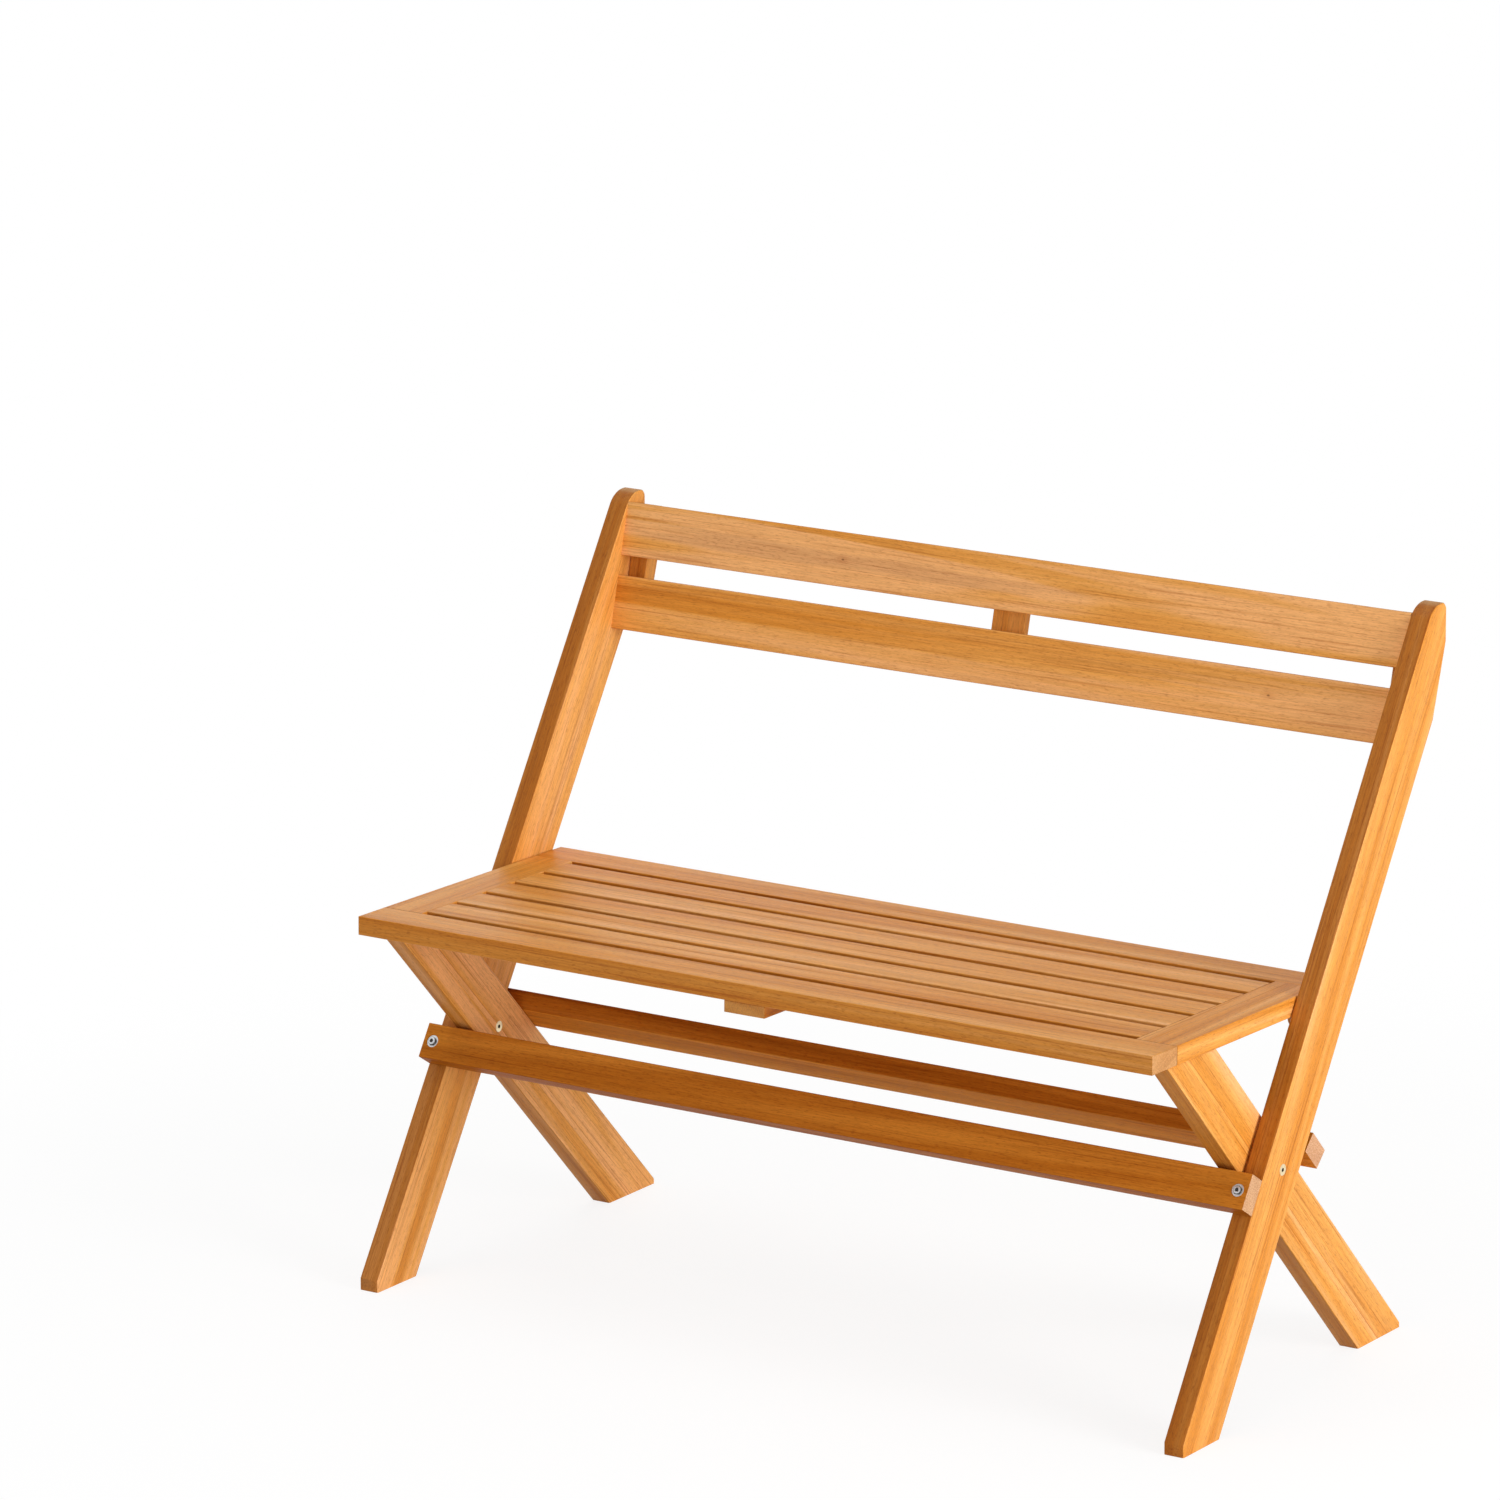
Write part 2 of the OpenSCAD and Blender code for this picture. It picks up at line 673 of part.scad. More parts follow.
// Block let into the end rail, with a round end below the seat about the hinge axis
module hinge_block() {
    color(wood) in_seat() difference() {
        plate(block_in_x, block_out_x) {
            translate([hinge_d - hinge_foot_l, -seat_t])
                square([hinge_foot_l + hinge_boss_r, hinge_foot_t]);
            translate([hinge_d - hinge_boss_r, -seat_t - hinge_drop]) square([2 * hinge_boss_r, hinge_drop]);
            intersection() {
                translate([hinge_d, -seat_t - hinge_drop]) circle(hinge_boss_r);
                translate([hinge_d - hinge_boss_r, -seat_t - hinge_drop - hinge_boss_r])
                    square([2 * hinge_boss_r, hinge_boss_r]);
            }
        }
        bar(block_in_x - over, block_out_x + over, [hinge_d, -seat_t - hinge_drop],
            hinge_pin_d / 2 + pin_fit);
        hinge_screws_cut();
    }
}

module hinge_housing() {
    translate([block_in_x - tenon_fit, hinge_d - hinge_foot_l - tenon_fit, -seat_t - over]) cube([
        hinge_block_t + 2 * tenon_fit, hinge_foot_l + hinge_boss_r + 2 * tenon_fit, hinge_foot_t + over
    ]);
}

module at_hinge_screws() {
    for (d = hinge_screw_ds) translate([block_in_x + hinge_block_t / 2, d, -seat_t]) children();
}

module hinge_screws_cut() {
    at_hinge_screws() screw_solid(seat_t - hinge_screw_web, pin_fit);
}

module hinge_block_screws() {
    color(zinc) in_seat() on_both() at_hinge_screws() wood_screw(seat_t - hinge_screw_web);
}

// Steel pin held in the hinge block, which turns in the post
module hinge_pin() {
    color(zinc) translate([block_in_x, hinge[0], hinge[1]]) rotate([0, 90, 0])
        pin(post_in_x + hinge_pin_in - block_in_x, hinge_pin_d);
}

function back_slat_z(i) = -i * (back_slat_w + back_gap) - back_slat_w / 2;

// Dowels from the cleats and the batten into the slats, with Y to the rear
module slat_dowels(fit, spare) {
    for (i = [0, 1], side = [-1, 1], x = [-cleat_in_x - cleat_t / 2, 0, cleat_in_x + cleat_t / 2])
        translate([x, back_slat_t - dowel_in - spare, back_slat_z(i) + side * back_dowel_pitch / 2])
            rotate([-90, 0, 0])
                cylinder(h = dowel_in + back_batten_t - dowel_web + 2 * spare, r = dowel_d / 2 + fit);
}

// Dowels from the right cleat into the right post
module cleat_dowels(fit, spare) {
    for (i = [0, 1])
        bar(post_in_x - dowel_in - spare, post_in_x + dowel_in + spare,
            [back_slat_t + dowel_d + pin_chamfer, back_slat_z(i)], dowel_d / 2 + fit);
}

module cleat_dowel_holes() {
    cleat_dowels(pin_fit, spare_depth);
}

module back_slat(i) {
    color(wood_light) in_back() difference() {
        board(2 * post_in_x, 0, back_slat_t,
            back_slat_z(i) - back_slat_w / 2, back_slat_z(i) + back_slat_w / 2);
        slat_dowels(pin_fit, tenon_fit);
    }
}

// Cleat against the post's inner face, with its rear edge in line with the post's
module back_cleat() {
    color(wood) difference() {
        eased_plate(cleat_in_x, post_in_x, cleat_pts);
        in_back() slat_dowels(pin_fit, tenon_fit);
        in_back() cleat_dowels(pin_fit, tenon_fit);
    }
}

module back_batten() {
    color(wood) in_back() difference() {
        rotate([0, 90, 0]) translate([back_h / 2, 0, 0])
            free_board(back_h, back_slat_t, back_slat_t + back_batten_t,
                -back_batten_w / 2, back_batten_w / 2);
        slat_dowels(pin_fit, tenon_fit);
    }
}

module back_dowels() {
    color(wood_light) in_back() {
        slat_dowels(0, 0);
        on_both() cleat_dowels(0, 0);
    }
}

on_left() post();  // left_post
post();  // right_post
on_left() leg();  // left_leg
leg();  // right_leg
front_stretcher();
rear_stretcher();
on_left() pivot_nut();  // left_pivot_nut
pivot_nut();  // right_pivot_nut
on_left() pivot_bolt();  // left_pivot_bolt
pivot_bolt();  // right_pivot_bolt
pivot_spacers();
color(zinc) on_both() at_front_bolt() stretcher_bolt();  // front_stretcher_bolts
color(zinc) on_both() at_front_bolt() washer();  // front_stretcher_washers
color(brass) on_both() at_front_bolt() threaded_insert();  // front_threaded_inserts
color(brass) on_both() at_rear_bolt() stretcher_bolt();  // rear_stretcher_bolts
color(brass) on_both() at_rear_bolt() washer();  // rear_stretcher_washers
color(brass) on_both() at_rear_bolt() threaded_insert();  // rear_threaded_inserts
on_left() locating_pin();  // left_locating_pin
locating_pin();  // right_locating_pin
seat_rail(0);  // seat_front_rail
seat_rail(seat_d - seat_rail_w);  // seat_rear_rail
on_left() seat_end_rail();  // seat_left_rail
seat_end_rail();  // seat_right_rail
seat_slat(0);  // seat_slat_1
seat_slat(1);  // seat_slat_2
seat_slat(2);  // seat_slat_3
seat_slat(3);  // seat_slat_4
seat_slat(4);  // seat_slat_5
seat_batten();
seat_batten_screws();
on_left() hinge_block();  // left_hinge_block
hinge_block();  // right_hinge_block
hinge_block_screws();
on_left() hinge_pin();  // left_hinge_pin
hinge_pin();  // right_hinge_pin
back_slat(0);  // upper_back_slat
back_slat(1);  // lower_back_slat
on_left() back_cleat();  // left_back_cleat
back_cleat();  // right_back_cleat
back_batten();
back_dowels();
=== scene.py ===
# Folding garden bench of oiled hardwood, dressed and lit for its picture. Lengths are in
# metres. The bench is put together here in the order in which a joiner would do it.

import random
from math import cos, pi, radians, sin

import bmesh
import bpy
from mathutils import Matrix, Vector


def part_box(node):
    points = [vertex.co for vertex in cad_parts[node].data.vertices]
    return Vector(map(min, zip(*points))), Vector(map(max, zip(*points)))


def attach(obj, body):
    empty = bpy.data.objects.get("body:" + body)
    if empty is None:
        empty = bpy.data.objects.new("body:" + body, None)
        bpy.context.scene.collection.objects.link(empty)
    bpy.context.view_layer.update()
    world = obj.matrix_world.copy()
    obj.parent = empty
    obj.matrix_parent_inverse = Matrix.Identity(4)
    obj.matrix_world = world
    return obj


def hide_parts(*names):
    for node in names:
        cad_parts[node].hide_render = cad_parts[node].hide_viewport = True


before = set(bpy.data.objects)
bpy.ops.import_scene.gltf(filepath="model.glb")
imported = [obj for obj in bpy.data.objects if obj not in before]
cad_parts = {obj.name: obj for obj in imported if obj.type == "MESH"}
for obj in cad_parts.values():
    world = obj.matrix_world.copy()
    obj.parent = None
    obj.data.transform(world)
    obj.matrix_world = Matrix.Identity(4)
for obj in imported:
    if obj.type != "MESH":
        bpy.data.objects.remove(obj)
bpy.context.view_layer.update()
scene = bpy.context.scene


# Posts: two shaped planks of oiled hardwood that lean back from the floor and carry the
# backrest. Each is sawn from one board, its edges are chamfered and rounded over with
# sandpaper, and it is rubbed with a warm orange oil.

same_point = 2e-6
facet_angle = radians(1)
crisp_angle = radians(50)


class Shade:
    """An output of a shader node. Arithmetic on shades adds the Math nodes for it."""

    def __init__(self, finish, socket):
        self.finish = finish
        self.socket = socket

    def __add__(self, other):
        return self.finish.math("ADD", self, other)

    def __sub__(self, other):
        return self.finish.math("SUBTRACT", self, other)

    def __rsub__(self, other):
        return self.finish.math("SUBTRACT", other, self)

    def __mul__(self, other):
        return self.finish.math("MULTIPLY", self, other)

    __radd__ = __add__
    __rmul__ = __mul__


class Nodes:
    """A node tree, and the one way in which its nodes are made."""

    def __init__(self, tree):
        self.tree = tree

    def plug(self, socket, value):
        """Links a shade to a socket, or writes a number, a colour or a vector there."""
        if isinstance(value, Shade):
            self.tree.links.new(value.socket, socket)
        elif socket.type == "RGBA":
            socket.default_value = (*value, 1)
        else:
            socket.default_value = value

    def node(self, kind, settings, sockets, output=0):
        """Any node: its settings first, then the values or links of its sockets."""
        node = self.tree.nodes.new("ShaderNode" + kind)
        for name, value in settings.items():
            if name == "stops":
                ramp = node.color_ramp.elements
                while len(ramp) < len(value):
                    ramp.new(1)
                for element, (place, colour) in zip(ramp, value):
                    element.position = place
                    element.color = (*colour, 1)
            else:
                setattr(node, name, value)
        for name, value in sockets.items():
            self.plug(node.inputs[name], value)
        return Shade(self, node.outputs[output])

    def math(self, operation, *values):
        return self.node("Math", {"operation": operation}, dict(enumerate(values)))

    def stretch(self, vector, scales, shift=(0, 0, 0)):
        """The vector with each number times its scale, and then shifted."""
        return self.node("VectorMath", {"operation": "MULTIPLY_ADD"},
                         {0: vector, 1: scales, 2: shift})

    def noise(self, vector, detail=2, roughness=0.5):
        return self.node("TexNoise", {}, {"Vector": vector, "Scale": 1, "Detail": detail,
                                          "Roughness": roughness})

    def ease(self, value, low, high):
        """0 up to low, 1 from high, and smooth between them."""
        return self.node("MapRange", {"interpolation_type": "SMOOTHSTEP"},
                         {"Value": value, "From Min": low, "From Max": high})

    def marks(self, place, count, shift, sharpness, detail=2, roughness=0.5):
        """Marks left by growth or by a tool, 1 in each mark and 0 between them. count is how
        many fit in a metre each way, and sharpness is where their edges begin and end."""
        spots = self.noise(self.stretch(place, count, shift), detail, roughness)
        return self.ease(spots, *sharpness)

    def apart(self, vector):
        """The three numbers of a vector."""
        split = self.node("SeparateXYZ", {}, {0: vector})
        return [Shade(self, output) for output in split.socket.node.outputs]

    def mix(self, share, first, second, how="MIX"):
        """This share of the second colour over the first."""
        return self.node("Mix", {"data_type": "RGBA", "blend_type": how},
                         {0: share, 6: first, 7: second}, 2)


class Finish(Nodes):
    """A material with its surface shader. What is the same all over is set when it is made."""

    def __init__(self, name, **constants):
        self.material = bpy.data.materials.new(name)
        self.material.use_nodes = True
        super().__init__(self.material.node_tree)
        self.surface = self.tree.nodes["Principled BSDF"]
        self.wear(**constants)

    def wear(self, **sockets):
        """Sets or links sockets of the surface shader."""
        for name, value in sockets.items():
            self.plug(self.surface.inputs[name.replace("_", " ")], value)

    def relief(self, height, depth, strength):
        """Marks cut into the surface or standing out of it."""
        self.wear(Normal=self.node("Bump", {}, {"Strength": strength, "Distance": depth,
                                                "Height": height}))


def clean_mesh(node):
    """The CAD node's mesh with its flat faces whole again."""
    work = bmesh.new()
    work.from_mesh(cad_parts[node].data)
    bmesh.ops.remove_doubles(work, verts=work.verts, dist=same_point)
    bmesh.ops.dissolve_limit(work, angle_limit=facet_angle, verts=work.verts, edges=work.edges)
    return work


def board_axes(node, work):
    """The board's own axes: X along the grain, Z square to its broad face, middle at 0."""
    longest = max(work.edges, key=lambda edge: edge.calc_length())
    square = max(work.faces, key=lambda face: face.calc_area()).normal.copy()
    along = (longest.verts[1].co - longest.verts[0].co).normalized()
    if along.dot(Vector((1, 0.1, 1))) < 0:
        along.negate()
    if square.dot(Vector((1, -0.1, 1))) < 0:
        square.negate()
    axes = Matrix((along, square.cross(along), square)).transposed().to_4x4()
    low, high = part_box(node)
    axes.translation = (low + high) / 2
    return axes


def stand_in(node, work, body, finish):
    """Makes the mesh an object that stands for the CAD node."""
    mesh = bpy.data.meshes.new(node + "_piece")
    for face in work.faces:
        face.smooth = True
    work.to_mesh(mesh)
    work.free()
    mesh.set_sharp_from_angle(angle=crisp_angle)
    mesh.materials.clear()
    mesh.materials.append(finish.material)
    piece = bpy.data.objects.new(node + "_piece", mesh)
    scene.collection.objects.link(piece)
    normals = piece.modifiers.new("rounded edges", "WEIGHTED_NORMAL")
    normals.keep_sharp = True
    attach(piece, body)
    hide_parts(node)


heart = (0.55, 0.172, 0.014)
honey = (0.76, 0.290, 0.036)
straw = (0.87, 0.400, 0.090)
sapwood = (0.96, 0.490, 0.180)
wood_colours = [(0, heart), (0.4, honey), (0.75, straw), (1, sapwood)]
ring_share = 0.62
ring_waver = 0.9
ring_softness = 0.22
darkest, span = 0.1, 0.8

mineral_tint = (0.74, 0.72, 0.80)
line_tint = (0.66, 0.49, 0.36)
thread_dark = (0.66, 0.57, 0.48)
thread_pale = (1.12, 1.14, 1.2)
dash_tint = (0.55, 0.38, 0.28)
pore_tint = (0.45, 0.29, 0.20)
glue_tint = (0.66, 0.46, 0.34)
glue_width = 0.0009
glue_share = 0.4
knot_heart = (0.12, 0.04, 0.015)
knot_heart_edge = (0.0004, 0.0016)
knot_ring_tint = (0.70, 0.50, 0.38)
knot_ring_edge = (0.001, 0.008)
knot_squeeze = 0.6
end_grain_dark = (0.33, 0.15, 0.055)
end_grain_share = 0.75
fibre_depth = 0.0003


def timber(node, body, pith=(0.02, -0.16), slope=0.02, ring=0.0085, contrast=1, tone=0,
           drift=0, sweep=0.004, grain=1.15, strips=(), mineral=0.3, knots=(),
           ends=(0.62, 0.33, 0.14), narrow=(0.73, 0.64, 0.46), gloss=0.15):
    """A timber of oiled hardwood in place of its CAD node. Gives its axes.

    pith is where the middle of the tree lay, across and below the broad face, slope how far
    it rises in a metre, ring the width of a year's growth, contrast how plain the rings are,
    and sweep how far the grain wanders. tone is how pale the timber is, and drift how much
    paler it grows in a metre. grain is how plain its fine marks are, and mineral its grey
    clouds. strips are bands glued in: from, to, and how much paler. knots lie at places
    along and across the face. ends is the palest colour of the end grain, narrow the tint
    that darkens the narrow sides as painted shade, for the weaker light they get than the
    broad faces, and gloss how much oil stands on it."""
    work = clean_mesh(node)
    axes = board_axes(node, work)
    turn = axes.to_euler()
    chance = random.Random(node)
    shift = [chance.uniform(-9, 9) for axis in range(3)]
    other_shift = shift[::-1]
    lean = chance.uniform(-0.02, 0.02)
    tone += chance.uniform(-0.05, 0.05)

    # The place in the board, and that place pushed aside a little, so that the grain bends.
    oil = Finish(node + "_oiled", Specular_IOR_Level=gloss)
    place = oil.node("Mapping", {"vector_type": "TEXTURE"},
                     {"Vector": oil.node("TexCoord", {}, {}, "Object"),
                      "Location": axes.translation, "Rotation": turn})
    wander = oil.node("TexNoise", {}, {"Vector": oil.stretch(place, (1.6, 7, 7), shift),
                                       "Scale": 1, "Detail": 1}, "Color")
    push = oil.stretch(wander, (0, 2 * sweep, 2 * sweep), (0, -sweep, -sweep))
    bent = oil.node("VectorMath", {"operation": "ADD"}, {0: place, 1: push})

    # The year rings about the pith, with broad paler and darker parts of the tree.
    x, y, z = oil.apart(bent)
    across = y + lean * x - pith[0]
    below = z + slope * x - pith[1]
    years = oil.math("SQRT", across * across + below * below) * (1 / ring)
    rings = oil.node("CombineXYZ", {}, {0: years, 1: x * ring_waver, 2: shift[0]})
    growth = oil.noise(rings, 2, 0.45)
    broad = oil.noise(oil.stretch(bent, (0.9, 26, 26), other_shift), 2)
    softness = ring_softness / contrast
    figure = growth * ring_share + broad * (1 - ring_share)
    figure = oil.ease(figure, 0.5 - softness, 0.5 + softness) * span + (darkest + tone)
    figure = figure + x * drift

    glue = 0
    for low, high, paler in strips:
        from_middle = oil.math("ABSOLUTE", oil.apart(place)[1] - (low + high) / 2)
        figure = figure + oil.math("LESS_THAN", from_middle, (high - low) / 2) * paler
        from_side = oil.math("ABSOLUTE", from_middle - (high - low) / 2)
        glue = glue + (1 - oil.ease(from_side, 0, glue_width))
    colour = oil.node("ValToRGB", {"stops": wood_colours}, {"Fac": figure})
    if strips:
        colour = oil.mix(glue * glue_share, colour, glue_tint, "MULTIPLY")

    # The fine marks: grey clouds, dark lines, pale and dark threads, short dashes and pores.
    clouds = oil.marks(bent, (1.3, 34, 34), shift, (0.52, 0.66), 3, 0.6)
    lines = oil.marks(bent, (3.2, 360, 360), other_shift, (0.54, 0.72), 2, 0.6)
    threads = oil.marks(bent, (22, 640, 640), shift, (0.3, 0.7), 3, 0.6)
    dashes = oil.marks(bent, (110, 760, 760), other_shift, (0.58, 0.72), 1)
    pores = oil.marks(bent, (130, 2300, 2300), shift, (0.60, 0.70), 1)
    thread_tint = oil.mix(threads, thread_dark, thread_pale)
    for share, tint in ((clouds * mineral, mineral_tint), (lines * (0.6 * grain), line_tint),
                        (0.34 * grain, thread_tint), (dashes * (0.36 * grain), dash_tint),
                        (pores * (0.42 * grain), pore_tint)):
        colour = oil.mix(share, colour, tint, "MULTIPLY")

    for along, over in knots:
        reach = oil.node("VectorMath", {"operation": "DISTANCE"},
                         {0: oil.stretch(place, (knot_squeeze, 1, 0)),
                          1: (along * knot_squeeze, over, 0)}, "Value")
        ringed = 0.35 - oil.ease(reach, *knot_ring_edge) * 0.35
        colour = oil.mix(ringed, colour, knot_ring_tint, "MULTIPLY")
        colour = oil.mix(0.7 - oil.ease(reach, *knot_heart_edge) * 0.7, colour, knot_heart)

    # The narrow sides, darkened by a painted shade for their weaker light, and the end grain,
    # told by which way the surface faces.
    facing = oil.node("Mapping", {"vector_type": "TEXTURE"},
                      {"Vector": oil.node("TexCoord", {}, {}, "Normal"), "Rotation": turn})
    end, side = (oil.ease(oil.math("ABSOLUTE", way), 0.55, 0.8) for way in oil.apart(facing)[:2])
    colour = oil.mix(side, colour, narrow, "MULTIPLY")
    speckle = oil.marks(place, (300, 650, 650), (0, 0, 0), (0.34, 0.66), 3, 0.7)
    end_grain = oil.mix(speckle * 0.7 + growth * 0.4, end_grain_dark, ends)
    colour = oil.mix(end * end_grain_share, colour, end_grain)

    oil.wear(Base_Color=colour, Roughness=0.38 + 0.12 * threads + 0.08 * lines + 0.12 * end)
    oil.relief(threads * 0.5 + lines * -0.3 + dashes * -0.4 + pores * -0.8, fibre_depth, 0.25)
    stand_in(node, work, body, oil)
    return axes


# The posts' narrow sides take a deeper painted shade than the other timbers.
for side, tone in (("left", 0.26), ("right", 0.12)):
    timber(side + "_post", "post_frame", pith=(0.03, -0.11), contrast=0.8,
           tone=tone, narrow=(0.57, 0.43, 0.24))


# Backrest: two wide slats between the posts, held by a cleat at each end and a batten
# behind the middle, all of the same oiled hardwood. Beech dowels join them unseen.

for side in ("left", "right"):
    timber(side + "_back_cleat", "post_frame", pith=(0.05, -0.12))

# A painted shade on the slats' narrow edges.
slat_edge_shade = (0.81, 0.75, 0.62)
timber("upper_back_slat", "post_frame", pith=(-0.012, -0.030), slope=0.05,
       ring=0.014, contrast=2, tone=0.38, drift=0.34, sweep=0.012, grain=1, mineral=0.6,
       knots=((-0.22, 0),), narrow=slat_edge_shade)
timber("lower_back_slat", "post_frame", pith=(-0.05, -0.04), slope=0.03,
       ring=0.010, tone=0.24, drift=0.46, sweep=0.006, grain=1, knots=((0.36, 0.004),),
       narrow=slat_edge_shade)
timber("back_batten", "post_frame", pith=(0.05, -0.12))

beech = Finish("turned_beech", Specular_IOR_Level=0.4)
place = beech.node("TexCoord", {}, {}, "Object")
fleck = beech.noise(beech.stretch(place, (400, 900, 900)), 2)
beech.wear(Base_Color=beech.mix(fleck, (0.52, 0.33, 0.17), (0.74, 0.55, 0.34)),
           Roughness=0.5 + 0.2 * fleck)
dowel_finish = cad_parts["back_dowels"].data.materials
dowel_finish.clear()
dowel_finish.append(beech.material)


# Front stretcher: a rail across the front of the posts that stops the legs when the bench
# is open. A zinc plated bolt with a washer, in a shallow recess, holds each end. It screws
# into a yellow plated insert in the post.

stretcher_axes = timber("front_stretcher", "post_frame", pith=(0.06, -0.10),
                        contrast=0.7, tone=-0.46, drift=-0.12, ends=(0.80, 0.54, 0.34),
                        gloss=0.04)


def lay_metal(node, body, finish, axis=Vector((1, 0, 0))):
    """Turned metal pieces in place of their CAD node. Each point of the mesh keeps how far it
    lies from its piece's own axis, which tells where shade is painted into the socket and
    round the foot of a bolt's head."""
    work = clean_mesh(node)
    radius = work.verts.layers.float.new("radius")
    left = set(work.verts)
    while left:
        part = [left.pop()]
        for vert in part:
            for edge in vert.link_edges:
                other = edge.other_vert(vert)
                if other in left:
                    left.remove(other)
                    part.append(other)
        flat = [vert.co - vert.co.dot(axis) * axis for vert in part]
        centre = Vector([(min(places) + max(places)) / 2 for places in zip(*flat)])
        for vert, point in zip(part, flat):
            vert[radius] = (point - centre).length
    stand_in(node, work, body, finish)


# Painted shade in sockets and round the foot of a bolt's head: where it lies, and its colour.
socket_radius = 0.0023
bolt_foot_radius = 0.0048
bolt_foot_shade_reach = (0.0003, 0.0009)
painted_shade_colour = (0.045, 0.036, 0.028)
scratch_depth = 0.0001


def plated(name, bright, dull, roughness, foot=None):
    """Plated steel: a little uneven in tone, with fine scratches from its wrench. Painted shade
    darkens the socket, and the line where the foot of a bolt's head meets its washer."""
    metal = Finish(name, Metallic=1)
    place = metal.node("TexCoord", {}, {}, "Object")
    tone = metal.marks(place, (260, 260, 260), (0, 0, 0), (0.3, 0.7), 3, 0.6)
    scratch = metal.marks(place, (2600, 500, 2600), (0, 0, 0), (0.55, 0.7))
    radius = metal.node("Attribute", {"attribute_name": "radius"}, {}, "Fac")
    # Painted shade: dark in the socket, and in a thin line round the foot of a bolt's head.
    painted_shade = 0.95 - metal.ease(radius, socket_radius, socket_radius * 1.25) * 0.95
    if foot:
        off_foot = metal.math("ABSOLUTE", radius - foot)
        painted_shade = metal.math("MAXIMUM", painted_shade, 0.85 - metal.ease(off_foot, *bolt_foot_shade_reach) * 0.85)
    metal.wear(Base_Color=metal.mix(painted_shade, metal.mix(tone, dull, bright), painted_shade_colour),
               Roughness=roughness + 0.14 * (1 - tone) + 0.1 * scratch + 0.25 * painted_shade)
    metal.relief(scratch * -1, scratch_depth, 0.3)
    return metal


zinc_look = ((0.72, 0.73, 0.74), (0.52, 0.53, 0.55), 0.26)
zinc = plated("zinc_plate", *zinc_look)
zinc_bolt = plated("zinc_plate_bolt", *zinc_look, bolt_foot_radius)
square_out = stretcher_axes.to_3x3().col[2]
for node in ("front_stretcher_bolts", "front_stretcher_washers"):
    lay_metal(node, "post_frame", zinc_bolt, square_out)

yellow_look = ((0.92, 0.80, 0.54), (0.76, 0.60, 0.34), 0.3)
yellow = plated("yellow_plate", *yellow_look)
yellow_bolt = plated("yellow_plate_bolt", *yellow_look, bolt_foot_radius)
lay_metal("front_threaded_inserts", "post_frame", yellow, square_out)


# Legs: two straight planks, glued up from strips, that cross the posts on their inner side
# and hold up the front of the seat. They turn on the pivots, and the rear stretcher, held
# by yellow plated bolts, joins them.

for side, tone, paler in (("left", 0.28, 0.25), ("right", 0.27, 0.14)):
    timber(side + "_leg", "leg_frame", pith=(-0.04, -0.09), tone=tone,
           strips=((0.002, 0.009, paler), (-0.014, 0.002, -0.08)), gloss=0.1)

stretcher_axes = timber("rear_stretcher", "leg_frame", pith=(0.05, -0.12),
                        contrast=0.8, tone=-0.16, ends=(0.76, 0.50, 0.36), gloss=0.04)
square_out = stretcher_axes.to_3x3().col[2]
for node in ("rear_stretcher_bolts", "rear_stretcher_washers", "rear_threaded_inserts"):
    lay_metal(node, "leg_frame", yellow_bolt, square_out)


# Pivots: at each crossing a yellow plated sleeve nut goes through post, spacer and leg,
# and a bolt with the same flat head screws into it from the leg's inner side.

lay_metal("pivot_spacers", "post_frame", zinc)
for side in ("left", "right"):
    for part in ("_pivot_nut", "_pivot_bolt"):
        lay_metal(side + part, "post_frame", yellow)


# Seat: five slats let into end rails, which are let into a front and a rear rail. It is
# glued up as one panel, sanded flush and oiled, with a batten screwed on underneath.

# The front and rear rails take a painted shade on their narrow sides, the end rails none.
for node in ("seat_front_rail", "seat_rear_rail"):
    timber(node, "seat", pith=(0.06, -0.10), tone=0.08, narrow=(0.75, 0.64, 0.43))
for side in ("left", "right"):
    timber("seat_" + side + "_rail", "seat", pith=(0.07, -0.09), narrow=(1, 1, 1))
for number in range(1, 6):
    timber(f"seat_slat_{number}", "seat", pith=(0.05, -0.10), tone=0.1)
timber("seat_batten", "seat", pith=(0.04, -0.12), ends=(0.66, 0.28, 0.06))
upright = Vector((0, 0, 1))
lay_metal("seat_batten_screws", "seat", zinc, upright)


# Seat hinge: a hardwood block let in under each end of the seat and screwed on from below.
# A steel pin in its round end turns in the post.

steel = plated("oiled_steel", (0.24, 0.22, 0.20), (0.12, 0.11, 0.10), 0.35)
for side in ("left", "right"):
    timber(side + "_hinge_block", "seat", pith=(0.04, -0.12))
    lay_metal(side + "_hinge_pin", "seat", steel)
lay_metal("hinge_block_screws", "seat", zinc, upright)


# Locating pins: a turned steel pin driven into the top of each leg, which enters a slot
# under the seat and keeps the open bench from folding.

for side in ("left", "right"):
    lay_metal(side + "_locating_pin", "leg_frame", zinc)


# Studio: a white floor and backdrop, a broad soft light from the right, weaker ones from
# the front, from above and low behind the seat's left end, and a long lens at standing
# height in front of the bench's right end.

camera_aim = Vector((-0.0207, -0.2459, 0.7079))
camera_azimuth = radians(33.65)
camera_height = radians(14.33)
camera_roll = radians(-0.31)
camera_distance = 9.535
lens_length = 208.48
sensor_width = 36
view_reach = 100

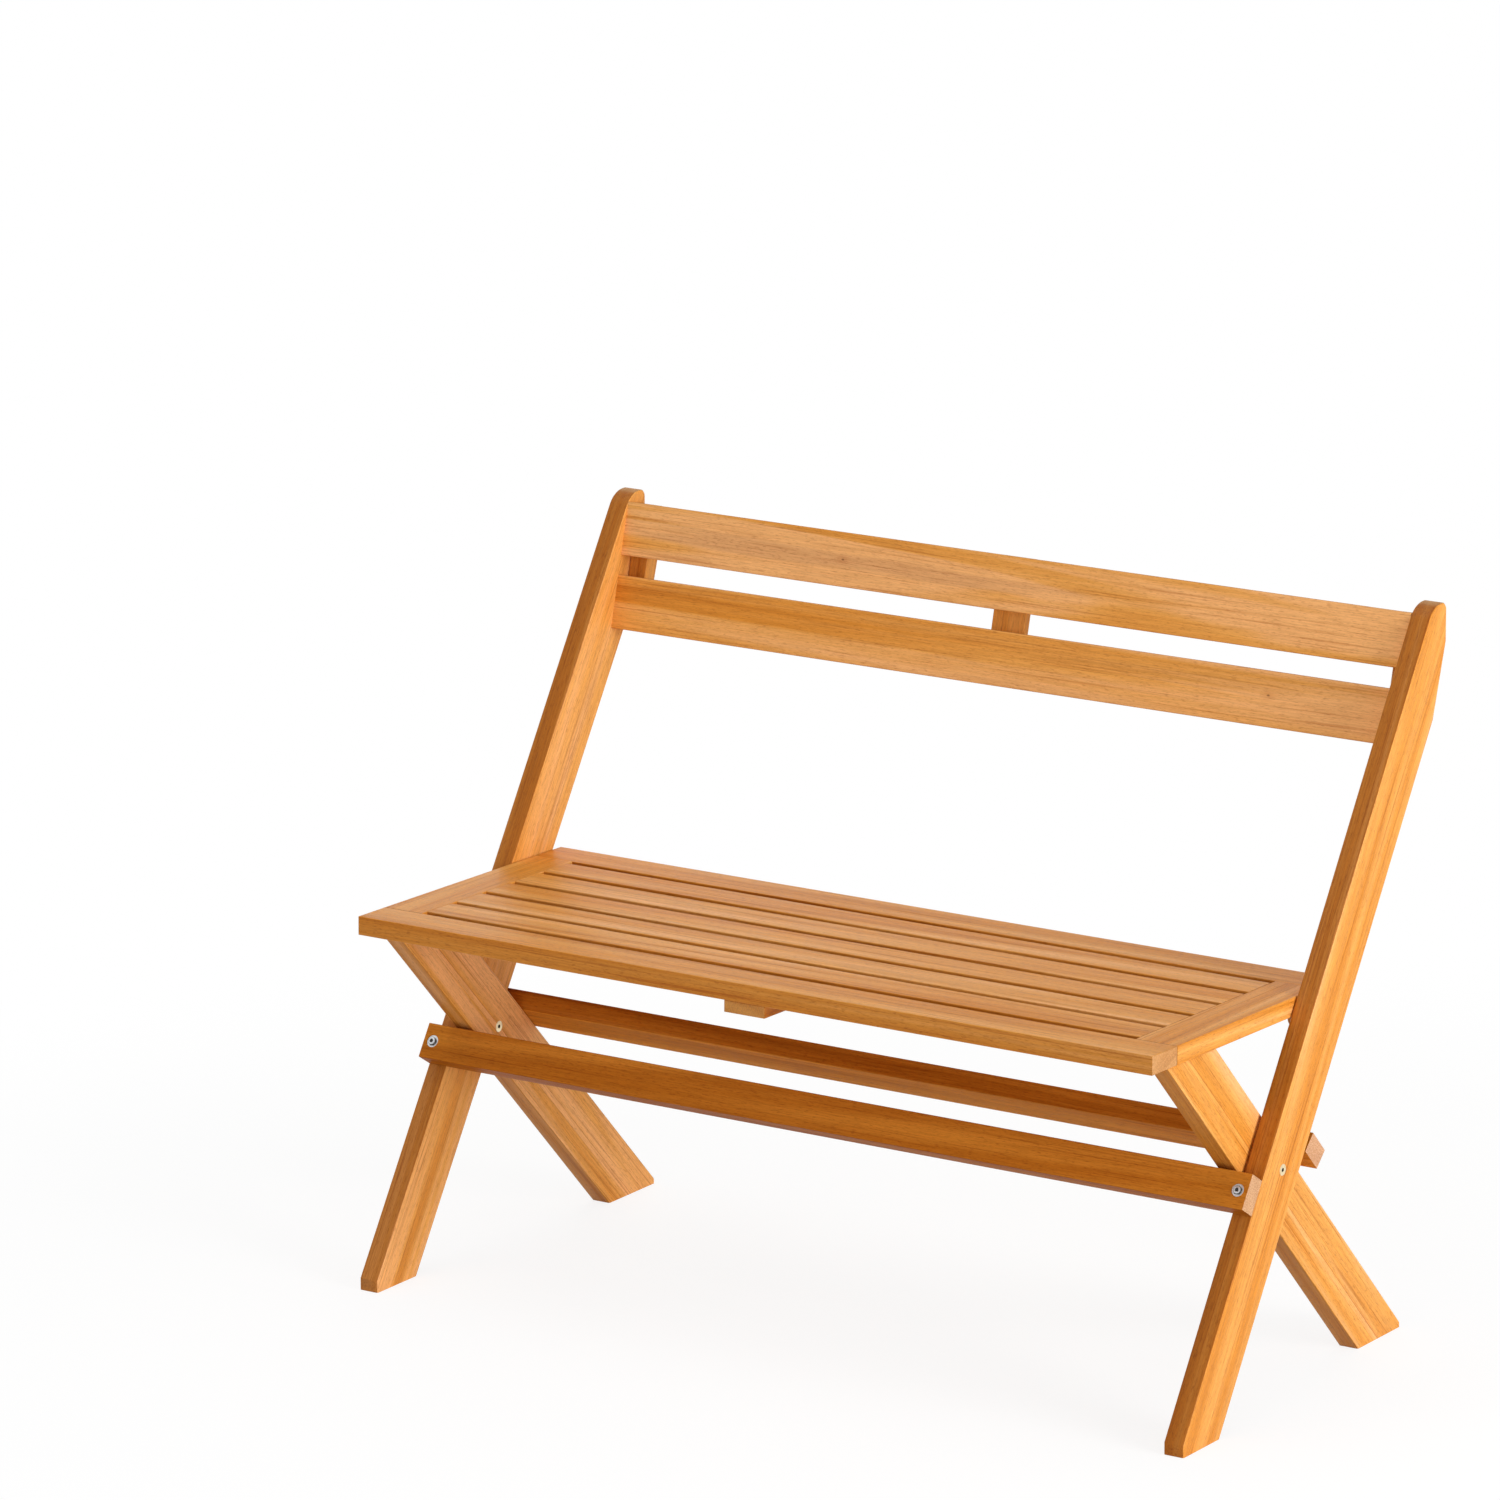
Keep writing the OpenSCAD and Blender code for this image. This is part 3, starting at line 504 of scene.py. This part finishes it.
towards_camera = Vector((sin(camera_azimuth) * cos(camera_height),
                         -cos(camera_azimuth) * cos(camera_height), sin(camera_height)))
camera = bpy.data.objects.new("camera", bpy.data.cameras.new("camera"))
camera.data.lens = lens_length
camera.data.sensor_width = sensor_width
camera.data.clip_end = view_reach
camera.matrix_world = (Matrix.Translation(camera_aim + camera_distance * towards_camera)
                       @ towards_camera.to_track_quat("Z", "Y").to_matrix().to_4x4()
                       @ Matrix.Rotation(camera_roll, 4, "Z"))
scene.collection.objects.link(camera)
scene.camera = camera

floor_size = 60
floor_drop = 0.0004
work = bmesh.new()
bmesh.ops.create_grid(work, x_segments=1, y_segments=1, size=floor_size / 2)
floor_mesh = bpy.data.meshes.new("floor")
work.to_mesh(floor_mesh)
work.free()
floor = bpy.data.objects.new("floor", floor_mesh)
floor.location.z = -floor_drop
scene.collection.objects.link(floor)


def looked_at(nodes):
    """1 for the camera's rays, also past a mirror or through glass, and 0 for lit rays."""
    rays = nodes.node("LightPath", {}, {}).socket.node.outputs
    seen, mirrored, through = (Shade(nodes, rays[f"Is {kind} Ray"])
                               for kind in ("Camera", "Glossy", "Transmission"))
    return nodes.math("MINIMUM", seen + mirrored + through, 1)


shadow_depth = 0.16
shadow_fade = (0.8, 1.7)
paper = Finish("white_floor", Base_Color=(0.8, 0.8, 0.8), Roughness=0.9, Specular_IOR_Level=0)
white = paper.node("Emission", {}, {"Color": (1, 1, 1), "Strength": 1})
matt = paper.node("BsdfDiffuse", {}, {"Color": (1.25, 1.25, 1.25)})
from_middle = paper.node("VectorMath", {"operation": "LENGTH"},
                         {0: paper.node("TexCoord", {}, {}, "Object")}, "Value")
shadow_share = shadow_depth - paper.ease(from_middle, *shadow_fade) * shadow_depth
shown = paper.node("MixShader", {}, {0: shadow_share, 1: white, 2: matt})
plain = Shade(paper, paper.surface.outputs[0])
both = paper.node("MixShader", {}, {0: looked_at(paper), 1: plain, 2: shown})
paper.plug(paper.tree.nodes["Material Output"].inputs["Surface"], both)
floor_mesh.materials.append(paper.material)

soft_light = 0.42
world = bpy.data.worlds.new("studio")
world.use_nodes = True
scene.world = world
room = Nodes(world.node_tree)
backdrop = room.tree.nodes["Background"]
room.plug(backdrop.inputs["Color"], (1, 1, 1))
room.plug(backdrop.inputs["Strength"], soft_light + looked_at(room) * (1 - soft_light))


def lamp(name, place, aim, size, level):
    """A square soft light, hidden from the camera. level is how bright it shows a white
    card that faces it at its aim."""
    light = bpy.data.lights.new(name, "AREA")
    light.size = size
    light.energy = level * pi * pi * (place - aim).length_squared
    holder = bpy.data.objects.new(name, light)
    holder.location = place
    holder.rotation_euler = (place - aim).to_track_quat("Z", "Y").to_euler()
    holder.visible_camera = False
    scene.collection.objects.link(holder)


middle = Vector((0, 0, 0.4))
lamp("key", Vector((6.6, -0.65, 1.63)), middle, 3.2, 0.75)
lamp("fill", Vector((1.4, -5.2, 1.6)), middle, 2.5, 0.165)
lamp("overhead", Vector((-0.8, -0.6, 4.4)), middle, 2.5, 0.21)
seat_left = Vector((-0.42, 0, 0.45))
lamp("sheen", seat_left + 2 * Vector((-0.537, 0.807, 0.25)), seat_left, 0.8, 0.03)

scene.view_settings.view_transform = "Standard"
